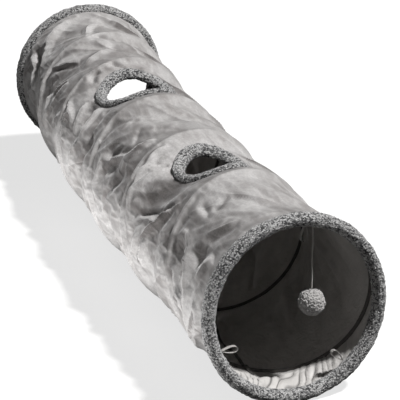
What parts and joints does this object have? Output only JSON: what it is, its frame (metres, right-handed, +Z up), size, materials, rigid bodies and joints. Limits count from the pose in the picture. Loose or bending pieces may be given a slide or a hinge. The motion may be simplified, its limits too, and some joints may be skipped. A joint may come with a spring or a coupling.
{
  "type": "cat tunnel",
  "caption": "Folding cloth play tunnel for a cat, held open by a spring of wire, with plush rims, peek holes in its top and a pompom hanging in its mouth.",
  "frame": {"origin": "the middle of the front rim's flat foot, on the floor", "axes": "+Y along the tunnel from the front rim to the rear one, +Z up, +X to the right as seen from the front"},
  "size_m": [0.3219, 1.3739, 0.2982],
  "materials": {
    "plush": "short looped plush, mottled light and dark grey",
    "suede": "matte warm grey suede cloth, creased",
    "lining": "thin crinkled pale grey cloth",
    "steel": "drawn spring steel wire",
    "ferrule": "crimped zinc-plated sleeve",
    "tape": "dark woven binding tape",
    "ribbon": "pale grosgrain ribbon",
    "dark_ribbon": "black grosgrain ribbon",
    "string": "twisted white cotton string",
    "pompom_plush": "looped pale grey plush"
  },
  "bodies": {
    "front_end": {"front_rim_trim": "plush", "cover": "suede", "lining": "lining", "spring_wire": "steel", "wire_casing": "tape", "seam_tape": "tape", "wire_ferrule_front": "ferrule", "hang_tab": "ribbon"},
    "rear_end": {"rear_rim_trim": "plush", "wire_ferrule_rear": "ferrule"},
    "peek_near": {"peek_trim_near": "plush"},
    "peek_far": {"peek_trim_far": "plush"},
    "knot": {"string_knot": "string"},
    "ball": {"ball_string": "string", "pompom": "pompom_plush"},
    "loop_1": {"front_loop_1": "ribbon"},
    "loop_2": {"front_loop_2": "ribbon"},
    "loop_3": {"front_loop_3": "ribbon"},
    "tie_1": {"rear_tie_1": "dark_ribbon"},
    "tie_2": {"rear_tie_2": "dark_ribbon"},
    "tie_3": {"rear_tie_3": "dark_ribbon"}
  },
  "joints": [
    {"name": "fold", "type": "slide", "parent": "front_end", "child": "rear_end", "axis": [0, -1, 0], "range_m": [0, 1.253], "stiffness_N_per_m": 12, "deforming": ["cover", "lining", "spring_wire", "wire_casing", "seam_tape", "peek_trim_near", "peek_trim_far"]},
    {"name": "peek_near_fold", "type": "slide", "parent": "front_end", "child": "peek_near", "axis": [0, -1, 0], "range_m": [0, 0.324]},
    {"name": "peek_far_fold", "type": "slide", "parent": "front_end", "child": "peek_far", "axis": [0, -1, 0], "range_m": [0, 0.755]},
    {"name": "ball_fore_aft", "type": "hinge", "parent": "front_end", "child": "knot", "pos_m": [0.03447, 0.02896, 0.26891], "axis": [1, 0, 0], "range_deg": [-35, 35]},
    {"name": "ball_side_to_side", "type": "hinge", "parent": "knot", "child": "ball", "pos_m": [0.03447, 0.02896, 0.26891], "axis": [0, 1, 0], "range_deg": [-30, 30]},
    {"name": "loop_1_swing", "type": "hinge", "parent": "front_end", "child": "loop_1", "pos_m": [0.01778, 0.01738, 0.2745], "axis": [-0.0952, 0.9949, -0.0346], "range_deg": [-8, 40], "stiffness_Nm_per_rad": 0.0015},
    {"name": "loop_2_swing", "type": "hinge", "parent": "front_end", "child": "loop_2", "pos_m": [0.08114, 0.01566, 0.05114], "axis": [-0.0952, 0.9949, -0.0346], "range_deg": [-40, 40], "stiffness_Nm_per_rad": 0.0015},
    {"name": "loop_3_swing", "type": "hinge", "parent": "front_end", "child": "loop_3", "pos_m": [-0.11607, -0.00162, 0.09679], "axis": [-0.0952, 0.9949, -0.0346], "range_deg": [-40, 40], "stiffness_Nm_per_rad": 0.0015},
    {"name": "tie_1_swing", "type": "hinge", "parent": "rear_end", "child": "tie_1", "pos_m": [-0.03129, 1.32532, 0.27139], "axis": [0.0343, 0.9991, 0.0242], "range_deg": [-30, 30], "stiffness_Nm_per_rad": 0.0015},
    {"name": "tie_2_swing", "type": "hinge", "parent": "rear_end", "child": "tie_2", "pos_m": [0.11603, 1.32443, 0.09901], "axis": [0.0343, 0.9991, 0.0242], "range_deg": [-6, 30], "stiffness_Nm_per_rad": 0.0015},
    {"name": "tie_3_swing", "type": "hinge", "parent": "rear_end", "child": "tie_3", "pos_m": [-0.0886, 1.33246, 0.05722], "axis": [0.0343, 0.9991, 0.0242], "range_deg": [-30, 30], "stiffness_Nm_per_rad": 0.0015}
  ],
  "couplings": [
    {"joint": "peek_near_fold", "follows": "fold", "ratio": 0.2585},
    {"joint": "peek_far_fold", "follows": "fold", "ratio": 0.6024}
  ]
}
